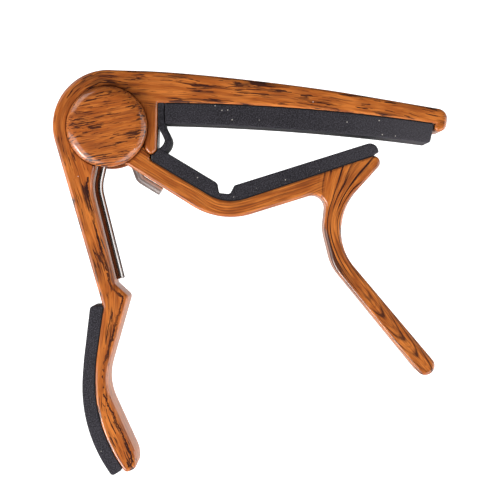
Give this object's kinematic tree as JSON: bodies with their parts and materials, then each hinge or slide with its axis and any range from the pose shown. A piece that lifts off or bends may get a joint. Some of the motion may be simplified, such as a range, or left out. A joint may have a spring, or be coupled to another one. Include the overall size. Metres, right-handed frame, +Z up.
{
  "type": "trigger guitar capo",
  "caption": "Spring-loaded trigger capo for a guitar neck: two wood-look arms hinged on one pin, with rubber pads that clamp the strings.",
  "frame": {"origin": "centre of the string pad's clamping face, where it meets the strings over the middle of the neck", "axes": "+X across the neck, from the hinge to the tip of the upper arm; +Y along the neck, parallel to the hinge pin; +Z up, out of the fretboard"},
  "size_m": [0.0868, 0.02, 0.0883],
  "materials": {
    "frame_finish": "cast light alloy under a printed wood-grain film and a clear gloss lacquer",
    "jaw_finish": "cast light alloy under a printed wood-grain film and a clear gloss lacquer",
    "cap_finish": "turned light alloy under a printed wood-grain film and a clear gloss lacquer",
    "pad_rubber": "matte, finely cellular",
    "grip_rubber": "matte, finely cellular",
    "adhesive_film": "double-sided adhesive film",
    "spring_wire": "nickel-plated round spring wire, bright",
    "pin_steel": "turned, plain",
    "black_nylon": "moulded, plain"
  },
  "bodies": {
    "frame": {"upper_frame": "frame_finish", "string_pad": "pad_rubber", "string_pad_adhesive": "adhesive_film", "pad_strap": "pad_rubber", "handle_grip": "grip_rubber", "handle_grip_adhesive": "adhesive_film", "torsion_spring": "spring_wire", "spring_sleeve": "black_nylon", "pivot_pin": "pin_steel", "front_thrust_washer": "black_nylon", "rear_thrust_washer": "black_nylon", "front_bushing": "black_nylon", "rear_bushing": "black_nylon", "front_retaining_washer": "pin_steel", "rear_retaining_washer": "pin_steel", "front_cap": "cap_finish", "rear_cap": "cap_finish"},
    "jaw": {"lower_jaw": "jaw_finish", "cradle_pad": "pad_rubber", "cradle_pad_adhesive": "adhesive_film"}
  },
  "joints": [
    {"name": "jaw_pivot", "type": "hinge", "parent": "frame", "child": "jaw", "pos_m": [-0.041, 0, -0.0025], "axis": [0, 1, 0], "range_deg": [0, 35], "stiffness_Nm_per_rad": 1.5, "springref_deg": -28.65, "deforming": ["torsion_spring", "pad_strap"]}
  ]
}
